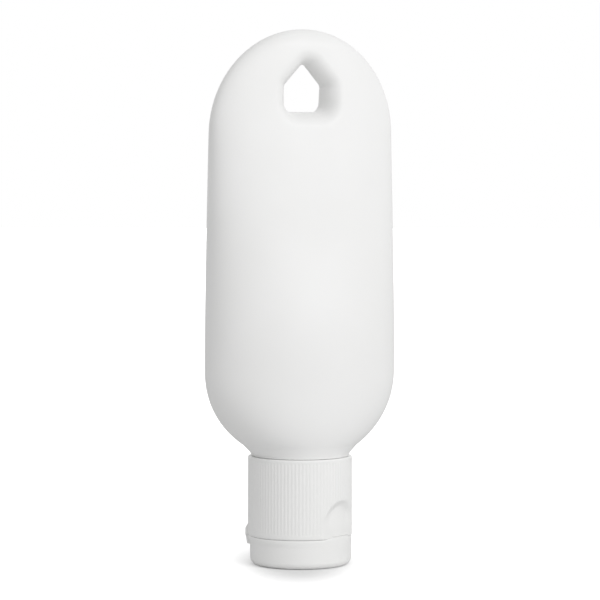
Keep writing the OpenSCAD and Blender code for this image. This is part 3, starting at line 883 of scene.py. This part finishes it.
for nodeName, material in (("lotion", lotionCream), ("cap_liner", linerFoam)):
    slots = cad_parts[nodeName].data.materials
    slots.clear()
    slots.append(material)


# Floor, light and camera

studio = {
    "cameraTurn": -22.0, "cameraAway": 673.3, "cameraHeight": 94.1, "cameraRoll": 0.12,
    "aim": (-0.07, 0.03, 58.35), "focal": 183.6, "sensor": 36,
    "worldLight": 0.565,
    "floorRadius": 2.5, "floorColor": (0.8, 0.8, 0.8), "floorRoughness": 0.9, "floorSpecular": 0.1,
    # the floor is lifted to white outside an oval round the foot, where the contact shadow stays
    "ovalWidth": 0.018, "ovalDepth": 0.046, "ovalStart": 0.22, "ovalEnd": 1.0, "nearGlow": 0.6,
    "farStart": 2.0, "farEnd": 8.0, "farGlow": 0.55,
    # direction from the camera's own and height above the table in degrees, power in watts
    "lamps": {"keyRight": (46, 30, 5.1), "frontSoft": (20, 36, 2.4)},
    "lampAway": 1.3, "lampSize": 0.9, "lampAim": 0.06,
}


def addObject(name, data):
    thing = bpy.data.objects.new(name, data)
    bpy.context.scene.collection.objects.link(thing)
    return thing


def makeWorld():
    world = bpy.data.worlds.new("studioWorld")
    bpy.context.scene.world = world
    world.use_nodes = True
    tree = world.node_tree
    background = tree.nodes["Background"]
    background.inputs["Color"].default_value = (1, 1, 1, 1)
    path = tree.nodes.new("ShaderNodeLightPath").outputs
    mirrored = calc(tree, "MAXIMUM", path["Is Glossy Ray"], path["Is Transmission Ray"])
    seen = calc(tree, "MAXIMUM", path["Is Camera Ray"], mirrored)
    tree.links.new(ramp(tree, seen, 0, 1, studio["worldLight"], 1.0), background.inputs["Strength"])


def ovalDistance(tree):
    # distance from the bottle's axis, 1 on an oval that is turned like the camera
    t = studio
    facing = radians(t["cameraTurn"])
    place = objectPlace(tree)
    across, along = Vector((cos(facing), sin(facing), 0)), Vector((sin(facing), -cos(facing), 0))
    squares = []
    for direction, size in ((across, t["ovalWidth"]), (along, t["ovalDepth"])):
        share = tree.nodes.new("ShaderNodeVectorMath")
        share.operation = "DOT_PRODUCT"
        tree.links.new(place, share.inputs[0])
        share.inputs[1].default_value = direction / size
        squares.append(calc(tree, "POWER", share.outputs["Value"], 2))
    return calc(tree, "SQRT", calc(tree, "ADD", *squares))


def makeFloor():
    t = studio
    material = bpy.data.materials.new("paleFloor")
    material.use_nodes = True
    tree = material.node_tree
    shader = tree.nodes["Principled BSDF"]
    shader.inputs["Base Color"].default_value = (*t["floorColor"], 1)
    shader.inputs["Roughness"].default_value = t["floorRoughness"]
    shader.inputs["Specular IOR Level"].default_value = t["floorSpecular"]
    away = ovalDistance(tree)
    glow = calc(tree, "ADD", ramp(tree, away, t["ovalStart"], t["ovalEnd"], 0.0, t["nearGlow"]),
                ramp(tree, away, t["farStart"], t["farEnd"], 0.0, t["farGlow"]))
    path = tree.nodes.new("ShaderNodeLightPath").outputs
    tree.links.new(calc(tree, "MULTIPLY", path["Is Camera Ray"], glow), shader.inputs["Emission Color"])
    shader.inputs["Emission Strength"].default_value = 1.0
    bm = bmesh.new()
    bmesh.ops.create_circle(bm, cap_ends=True, segments=96, radius=t["floorRadius"])
    mesh = bpy.data.meshes.new("paleFloor")
    bm.to_mesh(mesh)
    bm.free()
    mesh.materials.append(material)
    floorPiece = addObject("paleFloor", mesh)


def makeLamps():
    t = studio
    aim = Vector((0, 0, t["lampAim"]))
    for name, (turn, height, power) in t["lamps"].items():
        lamp = bpy.data.lights.new(name, "AREA")
        lamp.shape, lamp.size, lamp.energy = "DISK", t["lampSize"], power
        holder = addObject(name, lamp)
        side, up = radians(t["cameraTurn"] + turn), radians(height)
        place = Vector((sin(side) * cos(up), -cos(side) * cos(up), sin(up))) * t["lampAway"] + aim
        holder.location = place
        holder.rotation_euler = (aim - place).to_track_quat("-Z", "Y").to_euler()


def makeCamera():
    t = studio
    camera = bpy.data.cameras.new("photoCamera")
    camera.lens, camera.sensor_width = t["focal"], t["sensor"]
    holder = addObject("photoCamera", camera)
    side = radians(t["cameraTurn"])
    away = t["cameraAway"]
    holder.location = Vector((sin(side) * away, -cos(side) * away, t["cameraHeight"])) * mm
    look = Vector(t["aim"]) * mm - holder.location
    roll = Matrix.Rotation(radians(t["cameraRoll"]), 4, "Z")
    holder.rotation_euler = (look.to_track_quat("-Z", "Y").to_matrix().to_4x4() @ roll).to_euler()
    bpy.context.scene.camera = holder
    bpy.context.scene.view_settings.view_transform = "Standard"


makeWorld()
makeFloor()
makeLamps()
makeCamera()
print("studio ready")
